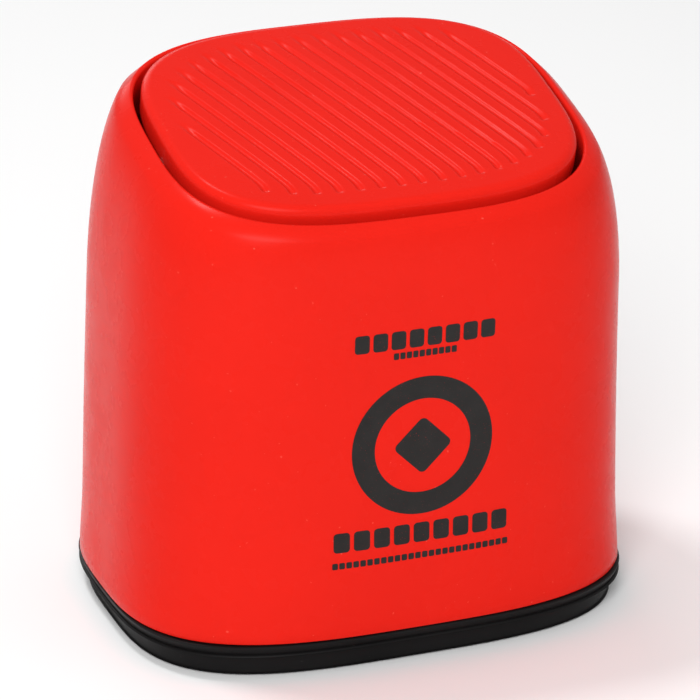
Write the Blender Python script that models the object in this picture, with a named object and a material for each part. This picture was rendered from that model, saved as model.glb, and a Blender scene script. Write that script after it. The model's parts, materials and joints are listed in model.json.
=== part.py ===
"""Benchtop biohazard waste bin: a lift-off cover with a sloping swing lid, over a base with a lined bucket.

Metres, +Z up, front towards -Y. The origin is on the bench, under the middle of the outer box.
"""

import math

import bmesh
import bpy
from mathutils import Matrix, Vector

# Plan outline of the bin, as half sizes at the seam between cover and base
HALF_W = 0.0850
HALF_D = 0.0654
BASE_Y = 0.00126           # the base sits this far back, because the wall above leans forward
SEAM_Z = 0.0117            # lower edge of the cover

# Cover wall
WALL = 0.0022
WALL_RISE = 0.1501         # seam to rim, measured at the middle of the opening
DRAFT = 0.0042             # how far the side walls lean in from seam to rim
FLARE = 0.0007             # how far the foot of the cover stands out
FLARE_SHARE = 0.15         # share of the rise over which the foot draws in
SHOULDER = 0.0116          # width of the rounded shoulder
SHOULDER_START = 0.655     # share of the rise where the shoulder begins
DEPTH_SHARE = 0.66         # front and back walls draw in by this share of the side walls' inset
LEAN = 0.0092              # how far the sections move forward from seam to rim
LEAN_POWER = 2.0          # they do so more and more towards the rim
CORNER = 3.07              # superellipse power of the outline
TILT = math.radians(14.9)  # the top slopes down towards the front
TILT_START = 0.35          # share of the rise where the sections begin to slope
OUTER_SHARES = (0.0, 0.05, 0.15, 0.38, 0.60, 0.72, 0.81, 0.88, 0.93, 0.97, 0.992)
INNER_SHARES = (0.97, 0.93, 0.86, 0.74, 0.55, 0.15, 0.0)

# Opening in the sloping top, measured in its own plane
OPEN_W = 0.0676
OPEN_D = 0.0549
COLLAR_DEPTH = 0.0165
COLLAR_WALL = 0.0020
LIP = 0.0020               # width of the rounded lip round the opening
LIP_SECTION = ((1.0, -0.1), (0.55, 0.05), (0.15, -0.25), (0.0, -0.7))  # outwards and up, as shares of it

# Swing lid
LID_W = 0.0652
LID_D = 0.0522
LID_CORNER = 3.2
LID_STAND = 0.0036         # edge of the lid's top above the lip
LID_CROWN = 0.0010
LID_EDGE = 0.0028          # radius along the lid's top edge
CROWN_STEPS = 4
EDGE_STEPS = 4
LID_SKIN = 0.0022
SKIRT_DEPTH = 0.0090
SKIRT_WALL = 0.0020
GROOVES = 18
GROOVE_PITCH = 0.00665     # along the lid's width
GROOVE_TURN = math.radians(20.5)
GROOVE_TOP = 0.0026        # width at the surface
GROOVE_FLOOR = 0.0012
GROOVE_DEPTH = 0.0008
GROOVE_MARGIN = 0.0085     # plain border round the grooved field
GROOVE_FIELD_SHIFT = 0.0015
SPAN_STEPS = 240

# Pivot of the lid, in the plane of the opening
PIVOT_DROP = 0.0088        # below the lip
PIN_R = 0.0025
PIN_HEAD_R = 0.0040
PIN_HEAD = 0.0012
BUSH_BORE_R = 0.0026
BUSH_R = 0.0040
BUSH_FLANGE_R = 0.0054
BUSH_FLANGE = 0.0005
BUSH_END = 0.0036          # how far the bush reaches past the collar's inner face

# Bracket that carries the lid, and the counterweight in it
BRACKET_W = 0.0620
BRACKET_D = 0.0180
BRACKET_PLATE = 0.0020
LEG_WALL = 0.0035
LEG_DEPTH = 0.0265         # below the lip
LEG_FOOT_D = 0.0080
WEIGHT_DROP = 0.0210       # middle of the counterweight below the lip
WEIGHT_D = 0.0100
WEIGHT_H = 0.0080
WEIGHT_SHIFT = -0.00153     # forward, so that the lid hangs level with the opening
SCREW_X = 0.0380
SCREW_Y = 0.0120
SCREW_R = 0.00145
SCREW_HOLE_R = 0.0018
SCREW_HEAD_R = 0.0028
SCREW_HEAD = 0.0016
SCREW_BITE = 0.0009        # how deep the bracket screws reach into the lid
SCREW_STEPS = 16
WEIGHT_SCREW = 0.0105

# Base
FLANGE_TOP = 0.0112
FLANGE_BOTTOM = 0.0074
FLANGE_W = 0.0848
BODY_STEP = 0.0030         # the base below the flange stands in by this much
BASE_BOTTOM = 0.0003
BASE_FLOOR = 0.0045
BASE_RECESS = 0.0018
BASE_EDGE = 0.0006
RIM_WIDTH = 0.0040         # width of the standing edge under the base
SPIGOT_W = 0.0806          # upstand that the cover drops over
SPIGOT_TOP = 0.0220
SPIGOT_WALL = 0.0022
BASE_CORNER = 3.28
FOOT_R = 0.0070
FOOT_X = 0.0580
FOOT_Y = 0.0400

# Spring clips on the upstand
CLIP_SHEET = 0.0007
CLIP_HALF = 0.0070
CLIP_DROP = 0.0080
CLIP_BUMP = 0.0006

# Inner bucket and the ring that holds the bag on it
BUCKET_Y = -0.0010
BUCKET_W = 0.0625
BUCKET_D = 0.0465
BUCKET_DRAFT = 0.0060
BUCKET_BOTTOM = 0.0048
BUCKET_TOP = 0.1040
BUCKET_WALL = 0.0016
BUCKET_RIM = 0.0035
BUCKET_RIM_H = 0.0018
BUCKET_CORNER = 3.0
RING_WALL = 0.0020
RING_SKIRT = 0.0070

GAP = 0.0003
OVAL_STEPS = 56
ROUND_STEPS = 24

UP = Vector((0.0, -math.sin(TILT), math.cos(TILT)))
BACK = Vector((0.0, math.cos(TILT), math.sin(TILT)))
RIM_CENTRE = Vector((0.0, BASE_Y - LEAN, SEAM_Z + WALL_RISE))
PIVOT = RIM_CENTRE - PIVOT_DROP * UP


# ---------------------------------------------------------------- materials


def material(name, colour, roughness, metallic=0.0):
    """A Principled material."""
    made = bpy.data.materials.new(name)
    made.use_nodes = True
    shader = made.node_tree.nodes["Principled BSDF"]
    shader.inputs["Base Color"].default_value = (*colour, 1.0)
    shader.inputs["Roughness"].default_value = roughness
    shader.inputs["Metallic"].default_value = metallic
    return made


# ---------------------------------------------------------------- mesh tools


def add_object(name, mesh_data, finish, origin=(0.0, 0.0, 0.0)):
    """Closes the bmesh into an object with its faces out and its origin at the given point."""
    bmesh.ops.recalc_face_normals(mesh_data, faces=mesh_data.faces)
    bmesh.ops.translate(mesh_data, verts=mesh_data.verts, vec=-Vector(origin))
    mesh = bpy.data.meshes.new(name)
    mesh_data.to_mesh(mesh)
    mesh_data.free()
    mesh.shade_smooth()
    mesh.set_sharp_from_angle(angle=math.radians(35))
    mesh.materials.append(finish)
    made = bpy.data.objects.new(name, mesh)
    made.location = origin
    bpy.context.scene.collection.objects.link(made)
    return made


def oval(half_w, half_d, power):
    """Points of a superellipse, counter-clockwise seen from above."""
    points = []
    for step in range(OVAL_STEPS):
        angle = 2 * math.pi * step / OVAL_STEPS
        c, s = math.cos(angle), math.sin(angle)
        x = half_w * math.copysign(abs(c) ** (2 / power), c)
        y = half_d * math.copysign(abs(s) ** (2 / power), s)
        points.append((x, y))
    return points


def level_ring(half_w, half_d, power, y, z, slope=0.0):
    """An oval about (0, y, z) whose height grows by the slope towards the back."""
    return [Vector((px, y + py, z + slope * py)) for px, py in oval(half_w, half_d, power)]


def top_ring(half_w, half_d, height, power=CORNER):
    """An oval in the plane of the opening, at a height above the lip."""
    middle = RIM_CENTRE + height * UP
    return [middle + Vector((px, 0.0, 0.0)) + py * BACK for px, py in oval(half_w, half_d, power)]


def loft(rings, ends):
    """Bridges rings in order. ends is "loop" for a ring-shaped body, or "caps" for a centre fan at each end."""
    shape = bmesh.new()
    loops = [[shape.verts.new(p) for p in ring] for ring in rings]
    pairs = list(zip(loops, loops[1:]))
    if ends == "loop":
        pairs.append((loops[-1], loops[0]))
    for low, high in pairs:
        for i in range(len(low)):
            j = (i + 1) % len(low)
            shape.faces.new((low[i], low[j], high[j], high[i]))
    if ends == "caps":
        for loop, ring in ((loops[0], rings[0]), (loops[-1], rings[-1])):
            centre = shape.verts.new(sum(ring, Vector()) / len(ring))
            for i in range(len(loop)):
                shape.faces.new((loop[i], loop[(i + 1) % len(loop)], centre))
    return shape


def turned(profile, steps=ROUND_STEPS):
    """Turns (radius, height) points round Z. A profile with points on the axis closes itself there."""
    shape = bmesh.new()
    loops = []
    for radius, height in profile:
        if radius == 0.0:
            loops.append([shape.verts.new((0.0, 0.0, height))])
            continue
        angles = (2 * math.pi * i / steps for i in range(steps))
        loops.append([shape.verts.new((radius * math.cos(a), radius * math.sin(a), height)) for a in angles])
    joined = list(zip(loops, loops[1:]))
    if profile[0][0] > 0.0:
        joined.append((loops[-1], loops[0]))
    for low, high in joined:
        for i in range(steps):
            j = (i + 1) % steps
            corners = [low[i % len(low)], low[j % len(low)], high[j % len(high)], high[i % len(high)]]
            shape.faces.new(list(dict.fromkeys(corners)))
    return shape


def prism(outline, axis_from, axis_to):
    """Extrudes a closed outline of points from one offset to another."""
    shape = bmesh.new()
    first = [shape.verts.new(p + axis_from) for p in outline]
    last = [shape.verts.new(p + axis_to) for p in outline]
    shape.faces.new(list(reversed(first)))
    shape.faces.new(last)
    for i in range(len(outline)):
        j = (i + 1) % len(outline)
        shape.faces.new((first[i], first[j], last[j], last[i]))
    return shape


def cylinder(radius, start, end):
    """A round bar between two points, for pins and cutters."""
    start, end = Vector(start), Vector(end)
    along = end - start
    shape = turned([(0.0, 0.0), (radius, 0.0), (radius, along.length), (0.0, along.length)])
    turn = along.to_track_quat("Z", "Y").to_matrix().to_4x4()
    bmesh.ops.transform(shape, matrix=Matrix.Translation(start) @ turn, verts=shape.verts)
    return shape


def cut(target, shape, name):
    """Takes a shape out of an object with a Boolean that keeps its cutter as a hidden guide."""
    bmesh.ops.recalc_face_normals(shape, faces=shape.faces)
    mesh = bpy.data.meshes.new(name)
    shape.to_mesh(mesh)
    shape.free()
    cutter = bpy.data.objects.new(name, mesh)
    cutter.hide_render = True
    cutter.display_type = "WIRE"
    bpy.context.scene.collection.objects.link(cutter)
    modifier = target.modifiers.new(name, "BOOLEAN")
    modifier.operation = "DIFFERENCE"
    modifier.solver = "EXACT"
    modifier.object = cutter


def join(shapes):
    """Puts several separate shapes in one bmesh, as one cutter."""
    joined = bmesh.new()
    for shape in shapes:
        piece = bpy.data.meshes.new("piece")
        bmesh.ops.recalc_face_normals(shape, faces=shape.faces)
        shape.to_mesh(piece)
        shape.free()
        joined.from_mesh(piece)
        bpy.data.meshes.remove(piece)
    return joined


def lid_point(x, along, height):
    """A point on the lid: across, towards the back in the lid's plane, and above the lip."""
    return RIM_CENTRE + Vector((x, 0.0, 0.0)) + along * BACK + height * UP


# ---------------------------------------------------------------- cover


def shoulder_turn(share):
    """How far round the shoulder a height share is: 0 below it, 1 at the rim."""
    return max(0.0, (share - SHOULDER_START) / (1 - SHOULDER_START))


def wall_ring(share, thickness=0.0):
    """Section of the cover at a share of its rise, on the outer face or inside by the wall thickness."""
    ramp = min(1.0, share / FLARE_SHARE)
    turn = shoulder_turn(share)
    inset = DRAFT * share + FLARE * ramp * ramp * (3 - 2 * ramp)
    inset += SHOULDER * (1 - math.sqrt(max(0.0, 1 - turn * turn)))
    slope = math.tan(TILT) * max(0.0, (share - TILT_START) / (1 - TILT_START)) ** 2
    sideways = thickness * (1 - turn)
    return level_ring(
        HALF_W - inset - sideways,
        HALF_D - DEPTH_SHARE * inset - sideways,
        CORNER,
        BASE_Y - LEAN * share ** LEAN_POWER,
        SEAM_Z + WALL_RISE * share - thickness * turn,
        slope,
    )


def build_cover(finish):
    """The outer cover: foot, walls, shoulder, lip and the collar that hangs inside the opening."""
    outside = [wall_ring(share) for share in OUTER_SHARES]
    inside = [wall_ring(share, WALL) for share in INNER_SHARES]
    outer_w, outer_d = OPEN_W + COLLAR_WALL, OPEN_D + COLLAR_WALL
    lip = [top_ring(OPEN_W + out * LIP, OPEN_D + out * LIP, up * LIP) for out, up in LIP_SECTION]
    collar = [
        top_ring(OPEN_W, OPEN_D, -COLLAR_DEPTH),
        top_ring(outer_w, outer_d, -COLLAR_DEPTH),
        top_ring(outer_w, outer_d, -LIP - COLLAR_WALL / 2),
    ]
    cover = add_object("cover_shell", loft(outside + lip + collar + inside, "loop"), finish)
    holes = []
    for side in (-1, 1):
        start = PIVOT + Vector((side * (OPEN_W - COLLAR_WALL), 0, 0))
        end = PIVOT + Vector((side * (OPEN_W + BUSH_END), 0, 0))
        holes.append(cylinder(BUSH_R + GAP, start, end))
    cut(cover, join(holes), "cover_bush_holes")


def build_bushes(finish):
    """A flanged bush in each side of the collar."""
    for side, word in ((-1, "left"), (1, "right")):
        face = OPEN_W - GAP
        profile = [
            (BUSH_BORE_R, face - BUSH_FLANGE),
            (BUSH_FLANGE_R, face - BUSH_FLANGE),
            (BUSH_FLANGE_R, face),
            (BUSH_R, face),
            (BUSH_R, OPEN_W + BUSH_END),
            (BUSH_BORE_R, OPEN_W + BUSH_END),
        ]
        shape = turned(profile)
        turn = Matrix.Rotation(side * math.pi / 2, 4, "Y")
        bmesh.ops.transform(shape, matrix=Matrix.Translation(PIVOT) @ turn, verts=shape.verts)
        add_object(f"pivot_bush_{word}", shape, finish)


# ---------------------------------------------------------------- lid


def build_lid(finish):
    """The lid panel: a crowned top with a rounded edge and a short skirt, grooved on top."""
    rings = []
    flat_w, flat_d = LID_W - LID_EDGE, LID_D - LID_EDGE
    for step in range(1, CROWN_STEPS):
        share = step / CROWN_STEPS
        lift = LID_CROWN * (1 - share * share)
        rings.append(top_ring(share * flat_w, share * flat_d, LID_STAND + lift, LID_CORNER))
    for step in range(EDGE_STEPS + 1):
        angle = math.pi / 2 * step / EDGE_STEPS
        inward = LID_EDGE * (1 - math.sin(angle))
        drop = LID_EDGE * (1 - math.cos(angle))
        rings.append(top_ring(LID_W - inward, LID_D - inward, LID_STAND - drop, LID_CORNER))
    inner_w, inner_d = LID_W - SKIRT_WALL, LID_D - SKIRT_WALL
    under = LID_STAND - LID_SKIN
    rings.append(top_ring(LID_W, LID_D, LID_STAND - SKIRT_DEPTH, LID_CORNER))
    rings.append(top_ring(inner_w, inner_d, LID_STAND - SKIRT_DEPTH, LID_CORNER))
    rings.append(top_ring(inner_w, inner_d, under, LID_CORNER))
    lid = add_object("lid_panel", loft(rings, "caps"), finish, PIVOT)
    cut(lid, join(groove_cutters()), "lid_groove_cutters")
    cut(lid, join(lid_screw_holes(under - 2 * GAP, under + SCREW_BITE + GAP)), "lid_screw_holes")


def groove_span(x):
    """Where a groove that crosses the lid's middle at x enters and leaves the grooved field."""
    field_w, field_d = LID_W - GROOVE_MARGIN, LID_D - GROOVE_MARGIN
    inside = []
    for step in range(-SPAN_STEPS, SPAN_STEPS + 1):
        along = LID_W * step / SPAN_STEPS
        px = x - along * math.sin(GROOVE_TURN)
        py = along * math.cos(GROOVE_TURN) - GROOVE_FIELD_SHIFT
        if (abs(px) / field_w) ** LID_CORNER + (abs(py) / field_d) ** LID_CORNER < 1:
            inside.append(along)
    return inside[0], inside[-1]


def groove_cutters():
    """One tapered bar for each groove, lying across the lid's top."""
    bars = []
    direction = Vector((-math.sin(GROOVE_TURN), 0.0, 0.0)) + math.cos(GROOVE_TURN) * BACK
    across = Vector((math.cos(GROOVE_TURN), 0.0, 0.0)) + math.sin(GROOVE_TURN) * BACK
    for number in range(GROOVES):
        x = (number - (GROOVES - 1) / 2) * GROOVE_PITCH
        start, end = groove_span(x)
        middle = lid_point(x, 0.0, LID_STAND + LID_CROWN / 2)
        slant = (GROOVE_TOP - GROOVE_FLOOR) / (2 * GROOVE_DEPTH)
        above = 2 * LID_CROWN
        outline = [
            middle + across * (-GROOVE_FLOOR / 2) - UP * GROOVE_DEPTH,
            middle + across * (GROOVE_FLOOR / 2) - UP * GROOVE_DEPTH,
            middle + across * (GROOVE_TOP / 2 + slant * above) + UP * above,
            middle - across * (GROOVE_TOP / 2 + slant * above) + UP * above,
        ]
        bars.append(prism(outline, direction * start, direction * end))
    return bars


def screw_places():
    """Where the four bracket screws stand, as (across, towards the back)."""
    return [(sx * SCREW_X, sy * SCREW_Y) for sy in (-1, 1) for sx in (-1, 1)]


def lid_screw_holes(low, high):
    """Round cutters for the bracket screws between two heights above the lip."""
    return [cylinder(SCREW_HOLE_R, lid_point(x, y, low), lid_point(x, y, high)) for x, y in screw_places()]


def build_bracket(finish):
    """A channel under the lid: a plate with a leg at each end for the pin and the counterweight."""
    top = LID_STAND - LID_SKIN - GAP
    low = top - BRACKET_PLATE
    half = BRACKET_D
    leg_in = BRACKET_W - LEG_WALL
    shape = bmesh.new()
    stations = [(-half, low), (-LEG_FOOT_D, -LEG_DEPTH), (LEG_FOOT_D, -LEG_DEPTH), (half, low)]
    plate = {}
    for x in (-BRACKET_W, -leg_in, leg_in, BRACKET_W):
        for along in (-half, half):
            plate[x, along, "top"] = shape.verts.new(lid_point(x, along, top))
            plate[x, along, "low"] = shape.verts.new(lid_point(x, along, low))
        for along, height in stations[1:3]:
            plate[x, along, "foot"] = shape.verts.new(lid_point(x, along, height))

    def face(*keys):
        shape.faces.new([plate[key] for key in keys])

    xs = (-BRACKET_W, -leg_in, leg_in, BRACKET_W)
    for a, b in zip(xs, xs[1:]):
        face((a, -half, "top"), (b, -half, "top"), (b, half, "top"), (a, half, "top"))
        face((a, -half, "low"), (b, -half, "low"), (b, -half, "top"), (a, -half, "top"))
        face((a, half, "low"), (b, half, "low"), (b, half, "top"), (a, half, "top"))
    face((-leg_in, -half, "low"), (leg_in, -half, "low"), (leg_in, half, "low"), (-leg_in, half, "low"))
    for outer, inner in ((-BRACKET_W, -leg_in), (BRACKET_W, leg_in)):
        face((outer, -half, "low"), (outer, half, "low"), (outer, half, "top"), (outer, -half, "top"))
        for x in (outer, inner):
            face((x, -half, "low"), (x, half, "low"), (x, LEG_FOOT_D, "foot"), (x, -LEG_FOOT_D, "foot"))
        for along in (-1, 1):
            face((outer, along * half, "low"), (inner, along * half, "low"),
                 (inner, along * LEG_FOOT_D, "foot"), (outer, along * LEG_FOOT_D, "foot"))
        face((outer, -LEG_FOOT_D, "foot"), (inner, -LEG_FOOT_D, "foot"),
             (inner, LEG_FOOT_D, "foot"), (outer, LEG_FOOT_D, "foot"))
    bracket = add_object("lid_bracket", shape, finish, PIVOT)
    wide = BRACKET_W + LEG_WALL
    across = Vector((wide, 0.0, 0.0))
    holes = lid_screw_holes(low - LEG_WALL, top + LEG_WALL)
    holes.append(cylinder(PIN_R + GAP, PIVOT - across, PIVOT + across))
    middle = weight_centre()
    holes.append(cylinder(SCREW_HOLE_R, middle - across, middle + across))
    cut(bracket, join(holes), "bracket_holes")


def weight_centre():
    """Middle of the counterweight."""
    return lid_point(0.0, WEIGHT_SHIFT, -WEIGHT_DROP)


def build_counterweight(finish):
    """A steel bar between the bracket's legs, with a blind hole in each end for its screw."""
    half = BRACKET_W - LEG_WALL - GAP
    middle = weight_centre()
    corners = [(-1, -1), (1, -1), (1, 1), (-1, 1)]
    outline = [middle + BACK * (a * WEIGHT_D / 2) + UP * (b * WEIGHT_H / 2) for a, b in corners]
    bar = add_object(
        "counterweight", prism(outline, Vector((-half, 0, 0)), Vector((half, 0, 0))), finish, PIVOT)
    holes = []
    for side in (-1, 1):
        end = middle + Vector((side * BRACKET_W, 0, 0))
        holes.append(cylinder(SCREW_HOLE_R, end - Vector((side * (WEIGHT_SCREW + GAP), 0, 0)), end))
    cut(bar, join(holes), "counterweight_holes")


def screw(name, head_seat, direction, length, finish):
    """A pan-head screw: its head rests at head_seat and its shaft runs along direction."""
    profile = [
        (0.0, length),
        (SCREW_R, length),
        (SCREW_R, 0.0),
        (SCREW_HEAD_R, 0.0),
        (SCREW_HEAD_R, -SCREW_HEAD / 2),
        (SCREW_HEAD_R - SCREW_HEAD / 2, -SCREW_HEAD),
        (0.0, -SCREW_HEAD),
    ]
    shape = turned(profile, SCREW_STEPS)
    turn = Vector(direction).to_track_quat("Z", "Y").to_matrix().to_4x4()
    bmesh.ops.transform(shape, matrix=Matrix.Translation(head_seat) @ turn, verts=shape.verts)
    add_object(name, shape, finish, PIVOT)


def build_lid_screws(finish):
    """Four screws up through the bracket into the lid, and one through each leg into the counterweight."""
    low = LID_STAND - LID_SKIN - GAP - BRACKET_PLATE
    words = ("front_left", "front_right", "rear_left", "rear_right")
    for (x, y), word in zip(screw_places(), words):
        length = BRACKET_PLATE + 2 * GAP + SCREW_BITE
        screw(f"bracket_screw_{word}", lid_point(x, y, low - GAP), UP, length, finish)
    for side, word in ((-1, "left"), (1, "right")):
        seat = weight_centre() + Vector((side * (BRACKET_W + GAP), 0, 0))
        screw(f"counterweight_screw_{word}", seat, Vector((-side, 0, 0)), WEIGHT_SCREW, finish)


def build_pins(finish):
    """A headed pin through each leg into its bush."""
    inner = BRACKET_W - LEG_WALL - GAP
    outer = OPEN_W + BUSH_END - GAP
    profile = [
        (0.0, inner - PIN_HEAD),
        (PIN_HEAD_R, inner - PIN_HEAD),
        (PIN_HEAD_R, inner),
        (PIN_R, inner),
        (PIN_R, outer - GAP),
        (PIN_R - GAP, outer),
        (0.0, outer),
    ]
    for side, word in ((-1, "left"), (1, "right")):
        shape = turned(profile)
        turn = Matrix.Rotation(side * math.pi / 2, 4, "Y")
        bmesh.ops.transform(shape, matrix=Matrix.Translation(PIVOT) @ turn, verts=shape.verts)
        add_object(f"pivot_pin_{word}", shape, finish, PIVOT)


# ---------------------------------------------------------------- base


def base_ring(half_w, z):
    """An oval of the base that keeps one distance inside the cover's outline all round."""
    return level_ring(half_w, half_w - HALF_W + HALF_D, BASE_CORNER, BASE_Y, z)


def build_base(finish):
    """The tray: standing edge, stepped body, flange under the cover and the upstand inside it."""
    body = HALF_W - BODY_STEP
    spigot_in = SPIGOT_W - SPIGOT_WALL
    rings = [
        base_ring(body - RIM_WIDTH, BASE_RECESS),
        base_ring(body - RIM_WIDTH, BASE_BOTTOM),
        base_ring(body - BASE_EDGE, BASE_BOTTOM),
        base_ring(body - BASE_EDGE / 3, BASE_BOTTOM + BASE_EDGE / 3),
        base_ring(body, BASE_BOTTOM + BASE_EDGE),
        base_ring(body + GAP, FLANGE_BOTTOM - GAP),
        base_ring(FLANGE_W - GAP, FLANGE_BOTTOM),
        base_ring(FLANGE_W, FLANGE_BOTTOM + 2 * GAP),
        base_ring(FLANGE_W, FLANGE_TOP - 2 * GAP),
        base_ring(FLANGE_W - 2 * GAP, FLANGE_TOP),
        base_ring(SPIGOT_W, FLANGE_TOP),
        base_ring(SPIGOT_W, SPIGOT_TOP),
        base_ring(spigot_in, SPIGOT_TOP),
        base_ring(spigot_in, BASE_FLOOR),
    ]
    add_object("base_tray", loft(rings, "caps"), finish)


def build_feet(finish):
    """Four rubber pads inside the standing edge."""
    profile = [
        (0.0, 0.0),
        (FOOT_R - 2 * GAP, 0.0),
        (FOOT_R, GAP),
        (FOOT_R, BASE_RECESS - GAP),
        (0.0, BASE_RECESS - GAP),
    ]
    for sy, row in ((-1, "front"), (1, "rear")):
        for sx, word in ((-1, "left"), (1, "right")):
            shape = turned(profile)
            place = Vector((sx * FOOT_X, BASE_Y + sy * FOOT_Y, 0.0))
            bmesh.ops.translate(shape, verts=shape.verts, vec=place)
            add_object(f"foot_{row}_{word}", shape, finish)


def build_clips(finish):
    """A sheet-metal clip over each side of the upstand, with a bump towards the cover."""
    outer, inner = SPIGOT_W + GAP, SPIGOT_W - SPIGOT_WALL - GAP
    top = SPIGOT_TOP + GAP
    low = SPIGOT_TOP - CLIP_DROP
    section = [
        (outer, low),
        (outer + CLIP_SHEET, low),
        (outer + CLIP_SHEET, low + CLIP_DROP / 4),
        (outer + CLIP_SHEET + CLIP_BUMP, low + CLIP_DROP / 2),
        (outer + CLIP_SHEET, low + CLIP_DROP * 3 / 4),
        (outer + CLIP_SHEET, top + CLIP_SHEET),
        (inner - CLIP_SHEET, top + CLIP_SHEET),
        (inner - CLIP_SHEET, low),
        (inner, low),
        (inner, top),
        (outer, top),
    ]
    for side, word in ((-1, "left"), (1, "right")):
        outline = [Vector((side * x, BASE_Y, z)) for x, z in section]
        reach = Vector((0.0, CLIP_HALF, 0.0))
        add_object(f"cover_clip_{word}", prism(outline, -reach, reach), finish)


# ---------------------------------------------------------------- bucket and ring


def bucket_ring(offset, z):
    """An oval of the bucket, a distance outside its wall at the rim."""
    return level_ring(BUCKET_W + offset, BUCKET_D + offset, BUCKET_CORNER, BUCKET_Y, z)


def build_bucket(finish):
    """A drafted liner with a flat floor and an out-turned rim."""
    rings = [
        bucket_ring(-BUCKET_DRAFT - BUCKET_WALL, BUCKET_BOTTOM),
        bucket_ring(-BUCKET_DRAFT, BUCKET_BOTTOM + BUCKET_WALL),
        bucket_ring(0.0, BUCKET_TOP - BUCKET_RIM_H),
        bucket_ring(BUCKET_RIM, BUCKET_TOP - BUCKET_RIM_H),
        bucket_ring(BUCKET_RIM, BUCKET_TOP),
        bucket_ring(-BUCKET_WALL, BUCKET_TOP),
        bucket_ring(-BUCKET_DRAFT - BUCKET_WALL, BUCKET_BOTTOM + BUCKET_WALL),
    ]
    add_object("inner_bucket", loft(rings, "caps"), finish)


def build_bag_ring(finish):
    """An angle ring that drops over the bucket's rim and traps the folded edge of a bag."""
    seat = BUCKET_TOP + GAP
    skirt = BUCKET_RIM + GAP
    rings = [
        bucket_ring(skirt, seat - RING_SKIRT),
        bucket_ring(skirt + RING_WALL, seat - RING_SKIRT),
        bucket_ring(skirt + RING_WALL, seat + RING_WALL - 2 * GAP),
        bucket_ring(skirt + RING_WALL - 2 * GAP, seat + RING_WALL),
        bucket_ring(-BUCKET_WALL, seat + RING_WALL),
        bucket_ring(-BUCKET_WALL, seat),
        bucket_ring(skirt, seat),
    ]
    add_object("bag_ring", loft(rings, "loop"), finish)


def main():
    """Clears the scene and builds every piece."""
    for old in list(bpy.data.objects):
        bpy.data.objects.remove(old, do_unlink=True)
    red = material("red_plastic", (0.82, 0.024, 0.018), 0.30)
    black = material("black_plastic", (0.014, 0.013, 0.013), 0.45)
    grey = material("grey_plastic", (0.32, 0.33, 0.34), 0.50)
    rubber = material("black_rubber", (0.02, 0.02, 0.02), 0.80)
    acetal = material("white_acetal", (0.80, 0.80, 0.78), 0.35)
    steel = material("steel", (0.60, 0.60, 0.60), 0.30, 1.0)
    build_cover(red)
    build_bushes(acetal)
    build_lid(red)
    build_bracket(black)
    build_lid_screws(steel)
    build_pins(steel)
    build_counterweight(steel)
    build_base(black)
    build_feet(rubber)
    build_clips(steel)
    build_bucket(grey)
    build_bag_ring(black)


main()
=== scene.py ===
"""Benchtop laboratory waste bin: a red lift-off cover with a sloping swing lid, over a black base.

Metres, +Z up, front towards -Y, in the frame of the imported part.
"""

import json
import logging
import math
from dataclasses import dataclass
from enum import Enum
from typing import Sequence

import bpy
import numpy as np
from mathutils import Matrix, Vector


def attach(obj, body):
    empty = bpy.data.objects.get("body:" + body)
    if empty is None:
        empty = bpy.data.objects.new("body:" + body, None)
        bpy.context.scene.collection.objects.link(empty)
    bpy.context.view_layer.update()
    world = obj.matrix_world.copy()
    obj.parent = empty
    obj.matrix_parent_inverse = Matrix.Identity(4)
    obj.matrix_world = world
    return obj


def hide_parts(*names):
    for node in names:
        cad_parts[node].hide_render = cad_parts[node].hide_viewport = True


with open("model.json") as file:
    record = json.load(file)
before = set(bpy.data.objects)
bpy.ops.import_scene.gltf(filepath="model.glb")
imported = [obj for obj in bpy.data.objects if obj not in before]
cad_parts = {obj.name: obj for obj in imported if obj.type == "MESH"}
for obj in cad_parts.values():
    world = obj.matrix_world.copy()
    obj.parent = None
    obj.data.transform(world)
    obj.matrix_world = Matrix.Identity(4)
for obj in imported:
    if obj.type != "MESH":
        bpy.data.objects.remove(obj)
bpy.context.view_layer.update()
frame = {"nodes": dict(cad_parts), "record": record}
GAP = 0.0003
LOG = logging.getLogger("waste_bin")

Triple = tuple[float, float, float]


class Slot(Enum):
    """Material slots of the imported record."""

    RED = "red_plastic"
    BLACK = "black_plastic"
    GREY = "grey_plastic"
    RUBBER = "black_rubber"
    ACETAL = "white_acetal"
    STEEL = "steel"


class Ends(Enum):
    """How a loft closes."""

    LOOP = "the last ring joins the first"
    CAPS = "a flat face over each end"


# ---------------------------------------------------------------- finishes


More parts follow.
